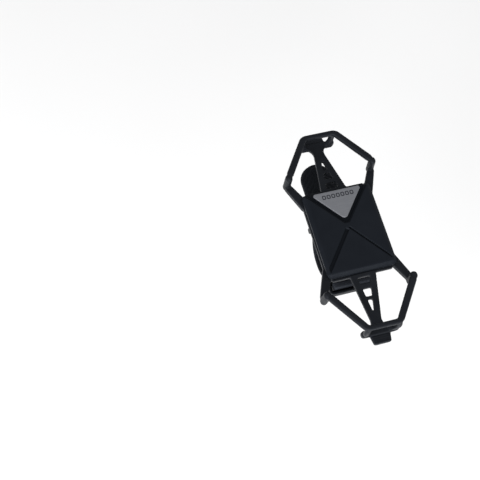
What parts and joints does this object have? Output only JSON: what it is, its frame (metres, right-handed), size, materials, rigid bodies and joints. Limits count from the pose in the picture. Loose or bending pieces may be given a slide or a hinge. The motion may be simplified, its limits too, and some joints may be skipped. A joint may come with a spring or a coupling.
{
  "type": "phone handlebar mount",
  "caption": "Bicycle phone holder: two stretching silicone loops on a hard cradle plate that swivels on a saddle strapped to the handlebar.",
  "frame": {"origin": "on the axis of the handlebar that the saddle grips, under the middle of the cradle plate", "axes": "+X along the handlebar, +Y towards the top of the phone, +Z out of the phone's screen"},
  "size_m": [0.0584, 0.1388, 0.056],
  "materials": {
    "silicone": "matte blue-black moulded silicone",
    "hard_plastic": "fine-grained satin nylon",
    "liner_rubber": "matte grip rubber",
    "badge_metal": "satin grey plate",
    "tape": "foam adhesive",
    "steel": "zinc-plated"
  },
  "bodies": {
    "bar_base": {"saddle_block": "hard_plastic", "saddle_liner": "liner_rubber", "bar_strap": "silicone", "pivot_screw": "steel", "pivot_nut": "steel", "cone_spring": "steel", "friction_washer": "hard_plastic", "detent_ball_left": "steel", "detent_ball_right": "steel", "detent_spring_left": "steel", "detent_spring_right": "steel"},
    "tail": {"strap_tail": "silicone"},
    "cradle": {"turntable_hub": "hard_plastic", "hub_screw_1": "steel", "hub_screw_2": "steel", "hub_screw_3": "steel", "core_plate": "hard_plastic", "cover_screw_1": "steel", "cover_screw_2": "steel", "cover_screw_3": "steel", "cover_screw_4": "steel", "carrier_sheet": "silicone", "front_cover": "hard_plastic", "badge": "badge_metal", "badge_tape": "tape"},
    "upper_loop": {"upper_loop_frame": "silicone", "upper_ladder_strap": "silicone", "upper_pull_tab": "silicone"},
    "lower_loop": {"lower_loop_frame": "silicone", "lower_ladder_strap": "silicone", "lower_pull_tab": "silicone"}
  },
  "joints": [
    {"name": "cradle_swivel", "type": "hinge", "parent": "bar_base", "child": "cradle", "pos_m": [0, 0, 0.0219], "axis": [0, 0, 1], "continuous": true},
    {"name": "upper_stretch", "type": "slide", "parent": "cradle", "child": "upper_loop", "axis": [0, 1, 0], "range_m": [0, 0.018], "stiffness_N_per_m": 250},
    {"name": "lower_stretch", "type": "slide", "parent": "cradle", "child": "lower_loop", "axis": [0, -1, 0], "range_m": [0, 0.018], "stiffness_N_per_m": 250},
    {"name": "tail_flex", "type": "hinge", "parent": "bar_base", "child": "tail", "pos_m": [0, 0.0282, 0.0109], "axis": [1, 0, 0], "range_deg": [-25, 20], "stiffness_Nm_per_rad": 0.02}
  ]
}
